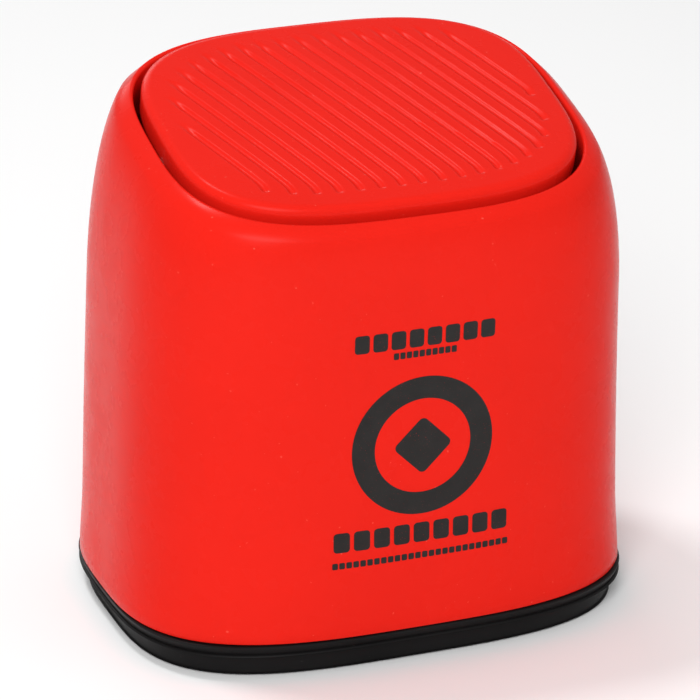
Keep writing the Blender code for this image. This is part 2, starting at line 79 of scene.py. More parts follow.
class Graph:
    """The node tree of one material, read in the piece's own coordinates."""

    def __init__(self, name: str) -> None:
        """Starts a material with its Principled shader."""
        self.material = bpy.data.materials.new(name)
        self.material.use_nodes = True
        self.tree = self.material.node_tree
        self.shader = self.tree.nodes["Principled BSDF"]
        self.place = self.tree.nodes.new("ShaderNodeTexCoord").outputs["Object"]

    def plain(self, **values: float | tuple) -> None:
        """Sets values that are the same all over on the shader's own sockets."""
        for name, value in values.items():
            self.shader.inputs[name.replace("_", " ")].default_value = value

    def noise(self, scale: float, detail: float = 2.0, stretch: Triple | None = None) -> bpy.types.NodeSocket:
        """A noise pattern on the piece.

        Args:
            scale: Features per metre.
            detail: Octaves.
            stretch: Scale along each axis, for a drawn or brushed grain.

        Returns:
            The pattern's value, 0 to 1.
        """
        node = self.tree.nodes.new("ShaderNodeTexNoise")
        node.inputs["Scale"].default_value = scale
        node.inputs["Detail"].default_value = detail
        source = self.place
        if stretch is not None:
            mapping = self.tree.nodes.new("ShaderNodeMapping")
            mapping.inputs["Scale"].default_value = stretch
            self.tree.links.new(source, mapping.inputs["Vector"])
            source = mapping.outputs["Vector"]
        self.tree.links.new(source, node.inputs["Vector"])
        return node.outputs["Fac"]

    def spread(self, source: bpy.types.NodeSocket, into: tuple[float, float],
               out: tuple[float, float]) -> bpy.types.NodeSocket:
        """Maps one range of a value on to another, clamped."""
        node = self.tree.nodes.new("ShaderNodeMapRange")
        for name, value in zip(("From Min", "From Max", "To Min", "To Max"), into + out):
            node.inputs[name].default_value = value
        self.tree.links.new(source, node.inputs["Value"])
        return node.outputs["Result"]

    def mix(self, share: bpy.types.NodeSocket, low: Triple | bpy.types.NodeSocket,
            high: Triple) -> bpy.types.NodeSocket:
        """Mixes two colours by a share, where the first may be an earlier mix."""
        node = self.tree.nodes.new("ShaderNodeMix")
        node.data_type = "RGBA"
        low_socket, high_socket = (s for s in node.inputs if s.type == "RGBA")
        if isinstance(low, tuple):
            low_socket.default_value = (*low, 1.0)
        else:
            self.tree.links.new(low, low_socket)
        high_socket.default_value = (*high, 1.0)
        self.tree.links.new(share, node.inputs["Factor"])
        return next(s for s in node.outputs if s.type == "RGBA")

    def bump(self, height: bpy.types.NodeSocket, depth: float, below: bpy.types.NodeSocket | None = None
             ) -> bpy.types.NodeSocket:
        """Adds relief of a depth in metres, on top of an earlier bump where there is one."""
        node = self.tree.nodes.new("ShaderNodeBump")
        node.inputs["Strength"].default_value = 1.0
        node.inputs["Distance"].default_value = depth
        self.tree.links.new(height, node.inputs["Height"])
        if below is not None:
            self.tree.links.new(below, node.inputs["Normal"])
        return node.outputs["Normal"]

    def drive(self, source: bpy.types.NodeSocket, name: str) -> None:
        """Links a pattern to one of the shader's sockets."""
        self.tree.links.new(source, self.shader.inputs[name])


@dataclass(frozen=True)
class MouldedPlastic:
    """Injection-moulded plastic: a fine spark grain, slow waviness, uneven gloss and a few specks."""

    name: str
    colour: Triple
    roughness: float
    gloss_spread: float = 0.05
    grain_scale: float = 2600.0
    grain_depth: float = 0.000003
    wave_scale: float = 38.0
    wave_depth: float = 0.000022
    tone: float = 0.05
    speck: Triple | None = None
    specular: float = 0.5

    def build(self) -> bpy.types.Material:
        """Builds the material."""
        graph = Graph(self.name)
        graph.plain(Specular_IOR_Level=self.specular)
        darker = tuple(c * (1 - self.tone) for c in self.colour)
        lighter = tuple(min(1.0, c * (1 + self.tone)) for c in self.colour)
        cloud = graph.spread(graph.noise(24.0, 4.0), (0.3, 0.7), (0.0, 1.0))
        colour = graph.mix(cloud, darker, lighter)
        if self.speck is not None:
            dots = graph.spread(graph.noise(900.0, 0.0), (0.85, 0.88), (0.0, 0.45))
            colour = graph.mix(dots, colour, self.speck)
        graph.drive(colour, "Base Color")
        low, high = self.roughness - self.gloss_spread, self.roughness + self.gloss_spread
        graph.drive(graph.spread(graph.noise(90.0, 5.0), (0.3, 0.7), (low, high)), "Roughness")
        wave = graph.bump(graph.noise(self.wave_scale, 1.0), self.wave_depth)
        graph.drive(graph.bump(graph.noise(self.grain_scale, 1.0), self.grain_depth, wave), "Normal")
        return graph.material


@dataclass(frozen=True)
class BrushedMetal:
    """Steel with a drawn grain along one axis."""

    name: str
    colour: Triple
    roughness: float
    grain: Triple

    def build(self) -> bpy.types.Material:
        """Builds the material."""
        graph = Graph(self.name)
        graph.plain(Metallic=1.0)
        lines = graph.noise(900.0, 4.0, self.grain)
        dull = tuple(c * 0.82 for c in self.colour)
        graph.drive(graph.mix(graph.spread(lines, (0.35, 0.65), (0.0, 1.0)), dull, self.colour), "Base Color")
        gloss = (self.roughness - 0.08, self.roughness + 0.1)
        graph.drive(graph.spread(lines, (0.3, 0.7), gloss), "Roughness")
        graph.drive(graph.bump(lines, 0.000004), "Normal")
        return graph.material


@dataclass(frozen=True)
class ScreenInk:
    """Printed ink: an even matt black with pinholes where the screen's mesh shows through."""

    name: str
    colour: Triple
    worn: Triple
    roughness: float

    def build(self) -> bpy.types.Material:
        """Builds the material."""
        graph = Graph(self.name)
        pinholes = graph.spread(graph.noise(2400.0, 1.0), (0.70, 0.76), (0.0, 0.5))
        graph.plain(Specular_IOR_Level=0.25)
        body = graph.mix(graph.spread(graph.noise(160.0, 3.0), (0.3, 0.7), (0.0, 1.0)), self.colour,
                         tuple(c * 1.5 for c in self.colour))
        graph.drive(graph.mix(pinholes, body, self.worn), "Base Color")
        graph.drive(graph.spread(graph.noise(500.0, 3.0), (0.3, 0.7),
                                 (self.roughness - 0.06, self.roughness + 0.06)), "Roughness")
        return graph.material


@dataclass(frozen=True)
class BenchPaint:
    """The pale floor under the bin."""

    name: str
    colour: Triple

    def build(self) -> bpy.types.Material:
        """Builds the material."""
        graph = Graph(self.name)
        graph.plain(Roughness=0.9, Specular_IOR_Level=0.1)
        off = tuple(c * 0.985 for c in self.colour)
        graph.drive(graph.mix(graph.noise(3.0, 3.0), off, self.colour), "Base Color")
        return graph.material


class Paintbox:
    """The bin's finishes, one built material for each slot, with the ink and the floor."""

    def __init__(self) -> None:
        """Builds every material once."""
        recipes = {
            Slot.RED: MouldedPlastic("red_moulding", (0.745, 0.0150, 0.0080), 0.27, tone=0.02,
                                     speck=(0.9, 0.14, 0.10), specular=0.055),
            Slot.BLACK: MouldedPlastic("black_moulding", (0.0078, 0.0072, 0.0074), 0.42, 0.07,
                                       grain_scale=1900.0, grain_depth=0.000012, tone=0.3,
                                       speck=(0.03, 0.029, 0.028), specular=0.10),
            Slot.GREY: MouldedPlastic("grey_moulding", (0.30, 0.31, 0.32), 0.48, 0.06, tone=0.05,
                                      grain_depth=0.000008, speck=(0.5, 0.5, 0.5)),
            Slot.RUBBER: MouldedPlastic("foot_rubber", (0.018, 0.018, 0.018), 0.82, 0.08,
                                        grain_scale=1500.0, grain_depth=0.00003, tone=0.35,
                                        speck=(0.08, 0.08, 0.08), specular=0.3),
            Slot.ACETAL: MouldedPlastic("acetal", (0.78, 0.77, 0.73), 0.36, 0.05, tone=0.03),
            Slot.STEEL: BrushedMetal("bright_steel", (0.63, 0.62, 0.60), 0.30, (0.06, 1.0, 1.0)),
        }
        self.materials = {slot: recipe.build() for slot, recipe in recipes.items()}
        self.ink = ScreenInk("black_ink", (0.009, 0.008, 0.0075), (0.30, 0.012, 0.010), 0.45).build()
        self.floor = BenchPaint("pale_floor", (0.97, 0.97, 0.97)).build()

    def dress(self, piece: bpy.types.Object, slot: Slot, material: bpy.types.Material | None = None) -> None:
        """Gives a new piece its material: the slot's own, unless another is given.

        Args:
            piece: The finished piece.
            slot: The record's slot that it belongs to.
            material: A finish of its own, where it isn't the slot's.
        """
        piece.data.materials.clear()
        piece.data.materials.append(material or self.materials[slot])


# ---------------------------------------------------------------- modelling


def deselect() -> None:
    """Leaves nothing selected."""
    bpy.ops.object.select_all(action="DESELECT")


def activate(piece: bpy.types.Object) -> None:
    """Makes a piece the only selected one and the active one."""
    deselect()
    piece.select_set(True)
    bpy.context.view_layer.objects.active = piece


def settle(piece: bpy.types.Object, angle: float = 35.0) -> bpy.types.Object:
    """Applies a piece's place to its mesh and shades it smooth up to an angle in degrees.

    Returns:
        The same piece, at the origin, unturned and unscaled.
    """
    activate(piece)
    bpy.ops.object.transform_apply(location=True, rotation=True, scale=True)
    bpy.ops.object.shade_smooth_by_angle(angle=math.radians(angle))
    return piece


def face_outwards(piece: bpy.types.Object) -> None:
    """Merges doubles and turns every face of a closed mesh outwards."""
    activate(piece)
    bpy.ops.object.mode_set(mode="EDIT")
    bpy.ops.mesh.select_all(action="SELECT")
    bpy.ops.mesh.remove_doubles(threshold=1e-6)
    bpy.ops.mesh.normals_make_consistent(inside=False)
    bpy.ops.object.mode_set(mode="OBJECT")


def apply_modifier(piece: bpy.types.Object, kind: str, **settings: object) -> None:
    """Adds a modifier with its settings and applies it."""
    activate(piece)
    modifier = piece.modifiers.new(kind.lower(), kind)
    for name, value in settings.items():
        setattr(modifier, name, value)
    bpy.ops.object.modifier_apply(modifier=modifier.name)


def drill(piece: bpy.types.Object, cutters: Sequence[bpy.types.Object]) -> None:
    """Takes cutters out of a piece and removes them."""
    for cutter in cutters:
        apply_modifier(piece, "BOOLEAN", operation="DIFFERENCE", solver="EXACT", object=cutter)
        bpy.data.objects.remove(cutter, do_unlink=True)


@dataclass(frozen=True)
class Ring:
    """One section of a loft: an oval about (0, y, z), tilted about X, its depth measured in its own plane."""

    half_w: float
    half_d: float
    y: float
    z: float
    tilt: float = 0.0

    @property
    def centre(self) -> Vector:
        """The ring's middle."""
        return Vector((0.0, self.y, self.z))


@dataclass
class OvalLoft:
    """Extrudes one superellipse from ring to ring, so that every section keeps the same corner."""

    name: str
    power: float
    steps: int = 224

    def build(self, rings: Sequence[Ring], ends: Ends) -> bpy.types.Object:
        """Models the loft.

        Args:
            rings: The sections in order.
            ends: How it closes.

        Returns:
            The closed piece, its faces outwards.
        """
        deselect()
        bpy.ops.mesh.primitive_circle_add(vertices=self.steps, radius=1.0)
        piece = bpy.context.object
        piece.name = piece.data.name = self.name
        for vertex in piece.data.vertices:
            vertex.co *= superellipse_reach(vertex.co.x, vertex.co.y, self.power)
        bpy.ops.object.mode_set(mode="EDIT")
        bpy.ops.mesh.select_mode(type="VERT")
        bpy.ops.mesh.select_all(action="SELECT")
        self.extrude_through(rings)
        bpy.ops.mesh.select_all(action="DESELECT")
        bpy.ops.mesh.select_non_manifold()
        if ends is Ends.LOOP:
            bpy.ops.mesh.bridge_edge_loops()
        else:
            bpy.ops.mesh.fill_holes(sides=0)
        bpy.ops.object.mode_set(mode="OBJECT")
        face_outwards(piece)
        return piece

    @staticmethod
    def extrude_through(rings: Sequence[Ring]) -> None:
        """Extrudes the selected loop, a unit oval at the origin, through the rings in turn."""
        before = Ring(1.0, 1.0, 0.0, 0.0)
        for number, ring in enumerate(rings):
            if number:
                bpy.ops.mesh.extrude_region_move()
            turn(before.tilt, -1, before.centre)
            scale = (ring.half_w / before.half_w, ring.half_d / before.half_d, 1.0)
            bpy.ops.transform.resize(value=scale, center_override=before.centre)
            turn(ring.tilt, 1, before.centre)
            bpy.ops.transform.translate(value=ring.centre - before.centre)
            before = ring


def turn(angle: float, sense: int, centre: Vector) -> None:
    """Turns the selection about X through a centre, back edge up for a positive sense."""
    if angle:
        bpy.ops.transform.rotate(value=-sense * angle, orient_axis="X", center_override=centre)


def superellipse_reach(x: float, y: float, power: float) -> float:
    """How far along the direction (x, y) a unit superellipse lies, as a multiple of that vector."""
    return (abs(x) ** power + abs(y) ** power) ** (-1 / power)


def fillet(radius: float, steps: int) -> list[tuple[float, float]]:
    """Points round a quarter circle, as (inset, drop) from its upper end to its outer one."""
    angles = (math.pi / 2 * step / steps for step in range(steps + 1))
    return [(radius * (1 - math.sin(a)), radius * (1 - math.cos(a))) for a in angles]


# ---------------------------------------------------------------- cover


@dataclass
class RimPlane:
    """The sloping plane of the opening, which the cover's rim and the lid share."""

    tilt: float = math.radians(14.9)
    seam_z: float = 0.0117
    rise: float = 0.1501
    lean: float = 0.0092
    base_y: float = 0.00126

    @property
    def centre(self) -> Vector:
        """Middle of the opening, level with its lip."""
        return Vector((0.0, self.base_y - self.lean, self.seam_z + self.rise))

    @property
    def up(self) -> Vector:
        """Square to the plane."""
        return Vector((0.0, -math.sin(self.tilt), math.cos(self.tilt)))

    @property
    def matrix(self) -> Matrix:
        """Places a piece modelled flat about the origin in the plane of the opening."""
        return Matrix.Translation(self.centre) @ Matrix.Rotation(self.tilt, 4, "X")

    def ring(self, half_w: float, half_d: float, height: float) -> Ring:
        """A ring in this plane, at a height above the lip."""
        middle = self.centre + height * self.up
        return Ring(half_w, half_d, middle.y, middle.z, self.tilt)


@dataclass
class Cover:
    """The red outer cover: straight walls with a small flare, a soft shoulder, a lip and a collar."""

    plane: RimPlane
    half_w: float = 0.0850
    half_d: float = 0.0654
    wall: float = 0.0022
    draft: float = 0.0042
    flare: float = 0.0007
    flare_share: float = 0.15
    shoulder: float = 0.0116
    shoulder_start: float = 0.655
    depth_share: float = 0.66
    lean_power: float = 2.0
    tilt_start: float = 0.35
    corner: float = 3.07
    open_w: float = 0.0676
    open_d: float = 0.0549
    lip: float = 0.0020
    collar_depth: float = 0.0165
    collar_wall: float = 0.0020
    foot_round: float = 0.0005
    wall_rings: int = 40
    ring_bunching: float = 1.15
    last_wall_share: float = 0.985
    inner_shares: tuple[float, ...] = (0.96, 0.92, 0.86, 0.78, 0.66, 0.4, 0.15, 0.0)
    lip_steps: int = 8
    lip_start: float = 0.42
    lip_lift: float = 0.05
    pivot_drop: float = 0.0088
    bush_hole: float = 0.0043
    bush_end: float = 0.0036

    def wall_ring(self, share: float, thickness: float = 0.0) -> Ring:
        """A section of the wall.

        Args:
            share: Height as a share of the rise from seam to rim.
            thickness: How far inside the outer face it lies.

        Returns:
            The section.
        """
        plane = self.plane
        ramp = min(1.0, share / self.flare_share)
        bend = max(0.0, (share - self.shoulder_start) / (1 - self.shoulder_start))
        inset = self.draft * share + self.flare * ramp * ramp * (3 - 2 * ramp)
        inset += self.shoulder * (1 - math.sqrt(max(0.0, 1 - bend * bend)))
        slope = math.tan(plane.tilt) * max(0.0, (share - self.tilt_start) / (1 - self.tilt_start)) ** 2
        tilt = math.atan(slope)
        sideways = thickness * (1 - bend)
        return Ring(
            self.half_w - inset - sideways,
            (self.half_d - self.depth_share * inset - sideways) / math.cos(tilt),
            plane.base_y - plane.lean * share ** self.lean_power,
            plane.seam_z + plane.rise * share - thickness * bend,
            tilt,
        )

    def shares(self) -> list[float]:
        """Heights of the sections, closer together round the shoulder."""
        return [math.sin(math.pi / 2 * step / self.wall_rings) ** self.ring_bunching
                for step in range(self.wall_rings)]

    def lip_rings(self) -> list[Ring]:
        """The rounded lip, from the end of the shoulder over its crest and down into the opening."""
        rings = []
        for step in range(self.lip_steps + 1):
            angle = math.pi * (self.lip_start + (1 - self.lip_start) * step / self.lip_steps)
            out = self.lip * (1 + math.cos(angle)) / 2
            lift = self.lip * (math.sin(angle) / 2 - 0.5 + self.lip_lift)
            rings.append(self.plane.ring(self.open_w + out, self.open_d + out, lift))
        return rings

    def build_shell(self) -> bpy.types.Object:
        """Models the cover with its wall's thickness and the holes for the bushes."""
        plane = self.plane
        foot = self.wall_ring(0.0)
        edge = Ring(foot.half_w - self.foot_round / 2, foot.half_d - self.foot_round / 2, foot.y, foot.z)
        soft = Ring(foot.half_w, foot.half_d, foot.y, foot.z + self.foot_round)
        outside = [self.wall_ring(share) for share in self.shares()[1:] if share < self.last_wall_share]
        outer_w, outer_d = self.open_w + self.collar_wall, self.open_d + self.collar_wall
        collar = [
            plane.ring(self.open_w, self.open_d, -self.collar_depth + self.foot_round),
            plane.ring(self.open_w + self.foot_round, self.open_d + self.foot_round, -self.collar_depth),
            plane.ring(outer_w - self.foot_round, outer_d - self.foot_round, -self.collar_depth),
            plane.ring(outer_w, outer_d, -self.collar_depth + self.foot_round),
            plane.ring(outer_w, outer_d, -self.lip - self.collar_wall / 2),
        ]
        inside = [self.wall_ring(share, self.wall) for share in self.inner_shares]
        shell = OvalLoft("cover", self.corner).build(
            [edge, soft] + outside + self.lip_rings() + collar + inside, Ends.LOOP)
        pivot = plane.centre - self.pivot_drop * plane.up
        cutters = []
        for side in (-1, 1):
            deselect()
            start, end = self.open_w - self.collar_wall, self.open_w + self.bush_end
            middle = pivot + Vector((side * (start + end) / 2, 0.0, 0.0))
            bpy.ops.mesh.primitive_cylinder_add(
                vertices=48, radius=self.bush_hole, depth=end - start,
                location=middle, rotation=(0.0, math.pi / 2, 0.0))
            cutters.append(bpy.context.object)
        drill(shell, cutters)
        return settle(shell, 40.0)

    def build(self, paints: Paintbox) -> bpy.types.Object:
        """Builds and dresses the cover.

        Returns:
            The cover, which stands for its CAD node.
        """
        shell = self.build_shell()
        paints.dress(shell, Slot.RED)
        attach(shell, "cover")
        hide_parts("cover_shell")
        LOG.info("cover: %d faces", len(shell.data.polygons))
        return shell


# ---------------------------------------------------------------- print on the front


@dataclass
class FrontPrint:
    """A generic black print on the front wall: a ring with a diamond in it, and rows of plain dashes."""

    cover: Cover
    mark_z: float = 0.0735
    ring_out: float = 0.0232
    ring_in: float = 0.0158
    diamond: float = 0.0098
    ink: float = 0.00006
    lift: float = 0.00004
    grid: float = 0.0016
    rows: tuple[tuple[float, float, float, int], ...] = (
        (0.1100, 0.0470, 0.0060, 8),
        (0.1047, 0.0210, 0.0022, 10),
        (0.0440, 0.0590, 0.0066, 9),
        (0.0362, 0.0590, 0.0021, 26),
    )
    dash_share: float = 0.80
    dash_round: float = 0.22
    diamond_round: float = 0.0018
    stand_off: float = 0.02

    def stand_up(self, piece: bpy.types.Object, x: float, z: float) -> bpy.types.Object:
        """Turns a flat shape to face the front and places it before the wall."""
        before_wall = Matrix.Translation((x, -self.cover.half_d - self.stand_off, z))
        upright = Matrix.Rotation(math.pi / 2, 4, "X")
        piece.matrix_world = before_wall @ upright @ piece.matrix_world
        return piece

    def ring(self) -> bpy.types.Object:
        """The plain ring: a disc with its middle inset and taken out."""
        deselect()
        bpy.ops.mesh.primitive_circle_add(vertices=96, radius=self.ring_out, fill_type="NGON")
        ring = bpy.context.object
        bpy.ops.object.mode_set(mode="EDIT")
        bpy.ops.mesh.select_all(action="SELECT")
        bpy.ops.mesh.inset(thickness=self.ring_out - self.ring_in)
        bpy.ops.mesh.delete(type="FACE")
        bpy.ops.mesh.select_all(action="SELECT")
        bpy.ops.object.mode_set(mode="OBJECT")
        return self.stand_up(ring, 0.0, self.mark_z)

    def lozenge(self) -> bpy.types.Object:
        """The diamond: a square stood on its corner, its corners softened."""
        deselect()
        bpy.ops.mesh.primitive_plane_add(size=self.diamond * math.sqrt(2))
        piece = bpy.context.object
        bpy.ops.object.mode_set(mode="EDIT")
        bpy.ops.mesh.select_all(action="SELECT")
        bpy.ops.mesh.bevel(offset=self.diamond_round, segments=6, affect="VERTICES")
        bpy.ops.object.mode_set(mode="OBJECT")
        piece.matrix_world = Matrix.Rotation(math.pi / 4, 4, "Z")
        return self.stand_up(piece, 0.0, self.mark_z)

    def dashes(self, z: float, width: float, height: float, count: int) -> list[bpy.types.Object]:
        """One row of equal dashes with rounded corners, centred on the wall."""
        pitch = width / count
        pieces = []
        for number in range(count):
            deselect()
            bpy.ops.mesh.primitive_plane_add(size=1.0)
            piece = bpy.context.object
            piece.scale = (pitch * self.dash_share, height, 1.0)
            bpy.ops.object.transform_apply(location=False, rotation=False, scale=True)
            bpy.ops.object.mode_set(mode="EDIT")
            bpy.ops.mesh.select_all(action="SELECT")
            corner = self.dash_round * min(pitch * self.dash_share, height)
            bpy.ops.mesh.bevel(offset=corner, segments=4, affect="VERTICES")
            bpy.ops.object.mode_set(mode="OBJECT")
            pieces.append(self.stand_up(piece, (number - (count - 1) / 2) * pitch, z))
        return pieces

    def slice_up(self, piece: bpy.types.Object) -> None:
        """Cuts the flat print into narrow cells, so that it can follow the wall."""
        activate(piece)
        bpy.ops.object.mode_set(mode="EDIT")
        low = min(v.co.x for v in piece.data.vertices)
        high = max(v.co.x for v in piece.data.vertices)
        bottom = min(v.co.z for v in piece.data.vertices)
        top = max(v.co.z for v in piece.data.vertices)
        for start, end, normal in ((low, high, (1.0, 0.0, 0.0)), (bottom, top, (0.0, 0.0, 1.0))):
            count = int((end - start) / self.grid)
            for number in range(1, count):
                at = start + (end - start) * number / count
                bpy.ops.mesh.select_all(action="SELECT")
                bpy.ops.mesh.bisect(plane_co=tuple(at * n for n in normal), plane_no=normal)
        bpy.ops.object.mode_set(mode="OBJECT")

    def build(self, shell: bpy.types.Object, paints: Paintbox) -> bpy.types.Object:
        """Builds the print on the finished cover.

        Args:
            shell: The cover that carries it.
            paints: The finishes.

        Returns:
            The print as one thin piece.
        """
        pieces = [self.ring(), self.lozenge()]
        for row in self.rows:
            pieces += self.dashes(*row)
        deselect()
        for piece in pieces:
            piece.select_set(True)
        bpy.context.view_layer.objects.active = pieces[0]
        bpy.ops.object.join()
        ink = bpy.context.object
        ink.name = ink.data.name = "front_print"
        bpy.ops.object.transform_apply(location=True, rotation=True, scale=True)
        self.slice_up(ink)
        apply_modifier(ink, "SHRINKWRAP", target=shell, wrap_method="PROJECT", use_project_x=False,
                       use_project_y=True, use_project_z=False, use_positive_direction=True,
                       use_negative_direction=True, offset=self.lift)
        apply_modifier(ink, "SOLIDIFY", thickness=self.ink, offset=1.0)
        face_outwards(ink)
        settle(ink, 30.0)
        paints.dress(ink, Slot.BLACK, paints.ink)
        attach(ink, "cover")
        LOG.info("front print: %d faces", len(ink.data.polygons))
        return ink


# ---------------------------------------------------------------- lid


@dataclass
class SwingLid:
    """The lid panel: a slightly crowned top with slanting grooves, a rounded edge and a short skirt."""

    plane: RimPlane
    half_w: float = 0.0652
    half_d: float = 0.0522
    corner: float = 3.2
    stand: float = 0.0036
    crown: float = 0.0009
    edge: float = 0.0028
    edge_steps: int = 8
    skin: float = 0.0022
    skirt: float = 0.0090
    skirt_wall: float = 0.0020
    cells_x: int = 300
    cells_y: int = 236
    grooves: int = 18
    pitch: float = 0.00665
    slant: float = math.radians(20.5)
    groove_width: float = 0.0033
    groove_depth: float = 0.00084
    margin: float = 0.0068
    field_shift: float = 0.0009
    hook: float = 0.0045
    fade_back: float = 0.0100
    fade_front: float = 0.0018

    def groove_ends(self, x: float) -> tuple[float, float]:
        """Where a groove that crosses the lid's middle at x leaves the field, at the front and the back."""
        along = np.linspace(-self.half_w, self.half_w, 801)
        px = (x - along * math.sin(self.slant)) / (self.half_w - self.margin)
        py = (along * math.cos(self.slant) - self.field_shift) / (self.half_d - self.margin)
        inside = along[np.abs(px) ** self.corner + np.abs(py) ** self.corner < 1] * math.cos(self.slant)
        return float(inside[0]), float(inside[-1])

    def relief(self, x: np.ndarray, y: np.ndarray) -> np.ndarray:
        """Depth of the grooves at points of the top.

        Args:
            x: Across the lid.
            y: Towards the back, in the lid's plane.

        Returns:
            How far each point lies below the plain crowned top.
        """
        depth = np.zeros_like(x)
        lean = math.tan(self.slant)
        for number in range(self.grooves):
            middle = (number - (self.grooves - 1) / 2) * self.pitch
            front, back = self.groove_ends(middle)
            bend = front + self.hook
            follow = bend + 0.5 * ((y - bend) + np.sqrt((y - bend) ** 2 + (self.hook / 2) ** 2))
            off = (x - (middle - lean * follow)) * math.cos(self.slant) / (self.groove_width / 2)
            profile = np.where(np.abs(off) < 1, 0.5 + 0.5 * np.cos(math.pi * off), 0.0)
            fade = smooth((y - front) / self.fade_front) * smooth((back - y) / self.fade_back)
            depth = np.maximum(depth, profile * fade)
        return self.groove_depth * depth

    def build_panel(self) -> bpy.types.Object:
        """Models the panel flat from a fine grid, extrudes its edge and skirt, and tilts it into place."""
        deselect()
        bpy.ops.mesh.primitive_grid_add(x_subdivisions=self.cells_x, y_subdivisions=self.cells_y, size=2.0)
        panel = bpy.context.object
        panel.name = panel.data.name = "lid"
        flat_w, flat_d = self.half_w - self.edge, self.half_d - self.edge
        points = np.zeros(len(panel.data.vertices) * 3)
        panel.data.vertices.foreach_get("co", points)
        points = points.reshape(-1, 3)
        p, q = points[:, 0], points[:, 1]
        square = np.maximum(np.abs(p), np.abs(q))
        norm = (np.abs(p) ** self.corner + np.abs(q) ** self.corner) ** (1 / self.corner)
        reach = np.divide(square, norm, out=np.zeros_like(norm), where=norm > 0)
        share = (np.abs(p * reach) ** self.corner + np.abs(q * reach) ** self.corner) ** (1 / self.corner)
        x, y = p * reach * flat_w, q * reach * flat_d
        z = self.stand + self.crown * (1 - share ** 2) - self.relief(x, y)
        panel.data.vertices.foreach_set("co", np.stack([x, y, z], 1).ravel())
        panel.data.update()
        self.extrude_edge(flat_w, flat_d)
        face_outwards(panel)
        panel.matrix_world = self.plane.matrix
        return settle(panel, 40.0)

    def extrude_edge(self, flat_w: float, flat_d: float) -> None:
        """Extrudes the active grid's border over the rounded edge, down the skirt and back up inside it."""
        bpy.ops.object.mode_set(mode="EDIT")
        bpy.ops.mesh.select_mode(type="VERT")
        bpy.ops.mesh.select_all(action="DESELECT")
        bpy.ops.mesh.select_non_manifold()
        before = Ring(flat_w, flat_d, 0.0, self.stand)
        rings = [Ring(self.half_w - inset, self.half_d - inset, 0.0, self.stand - drop)
                 for inset, drop in fillet(self.edge, self.edge_steps)[1:]]
        low = self.stand - self.skirt
        soft = self.skirt_wall / 4
        inner_w, inner_d = self.half_w - self.skirt_wall, self.half_d - self.skirt_wall
        rings += [
            Ring(self.half_w, self.half_d, 0.0, low + soft),
            Ring(self.half_w - soft, self.half_d - soft, 0.0, low),
            Ring(inner_w + soft, inner_d + soft, 0.0, low),
            Ring(inner_w, inner_d, 0.0, low + soft),
            Ring(inner_w, inner_d, 0.0, self.stand - self.skin - soft),
            Ring(inner_w - soft, inner_d - soft, 0.0, self.stand - self.skin),
        ]
        for ring in rings:
            bpy.ops.mesh.extrude_region_move()
            scale = (ring.half_w / before.half_w, ring.half_d / before.half_d, 1.0)
            bpy.ops.transform.resize(value=scale, center_override=before.centre)
            bpy.ops.transform.translate(value=ring.centre - before.centre)
            before = ring
        bpy.ops.mesh.edge_face_add()
        bpy.ops.object.mode_set(mode="OBJECT")

    def build(self, paints: Paintbox) -> bpy.types.Object:
        """Builds and dresses the lid panel.

        Returns:
            The panel, which stands for its CAD node.
        """
        panel = self.build_panel()
        paints.dress(panel, Slot.RED)
        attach(panel, "lid")
        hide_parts("lid_panel")
        LOG.info("lid: %d faces", len(panel.data.polygons))
        return panel


def smooth(share: np.ndarray) -> np.ndarray:
    """A smooth step from 0 to 1 over shares 0 to 1."""
    held = np.clip(share, 0.0, 1.0)
    return held * held * (3 - 2 * held)


# ---------------------------------------------------------------- base, bucket and ring


@dataclass
class Base:
    """The black tray: a standing edge, a stepped body, a flange under the cover and an upstand inside it."""

    plane: RimPlane
    half_w: float = 0.0850
    half_d: float = 0.0654
    corner: float = 3.28
    flange_w: float = 0.0848
    flange_top: float = 0.0112
    flange_bottom: float = 0.0074
    body_step: float = 0.0030
    bottom: float = 0.0003
    floor: float = 0.0045
    recess: float = 0.0018
    edge: float = 0.0006
    rim_width: float = 0.0040
    spigot_w: float = 0.0806
    spigot_top: float = 0.0220
    spigot_wall: float = 0.0022
    flange_round: float = 0.0009

    def ring(self, half_w: float, z: float) -> Ring:
        """An oval that keeps one distance inside the cover's outline."""
        return Ring(half_w, half_w - self.half_w + self.half_d, self.plane.base_y, z)

    def build(self, paints: Paintbox) -> bpy.types.Object:
        """Builds and dresses the tray.

        Returns:
            The tray, which stands for its CAD node.
        """
        body = self.half_w - self.body_step
        spigot_in = self.spigot_w - self.spigot_wall
        soft = self.flange_round
        rings = [self.ring(body - self.rim_width, self.recess), self.ring(body - self.rim_width, self.bottom)]
        rings += [self.ring(body - self.edge, self.bottom)]
        rings += [self.ring(body - inset, self.bottom + self.edge - lift)
                  for lift, inset in fillet(self.edge, 3)[1:]]
        rings += [self.ring(body, self.flange_bottom - GAP), self.ring(body + GAP, self.flange_bottom)]
        rings += [self.ring(self.flange_w - soft, self.flange_bottom)]
        rings += [self.ring(self.flange_w - inset, self.flange_bottom + soft - lift)
                  for lift, inset in fillet(soft, 4)[1:]]
        rings += [self.ring(self.flange_w - inset, self.flange_top - drop)
                  for inset, drop in reversed(fillet(soft / 2, 3))]
        rings += [
            self.ring(self.spigot_w + GAP, self.flange_top),
            self.ring(self.spigot_w, self.flange_top + GAP),
            self.ring(self.spigot_w, self.spigot_top - GAP),
            self.ring(self.spigot_w - GAP, self.spigot_top),
            self.ring(spigot_in + GAP, self.spigot_top),
            self.ring(spigot_in, self.spigot_top - GAP),
            self.ring(spigot_in, self.floor + self.edge),
            self.ring(spigot_in - self.edge, self.floor),
        ]
        tray = settle(OvalLoft("base", self.corner).build(rings, Ends.CAPS), 30.0)
        paints.dress(tray, Slot.BLACK)
        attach(tray, "base")
        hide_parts("base_tray")
        LOG.info("base: %d faces", len(tray.data.polygons))
        return tray


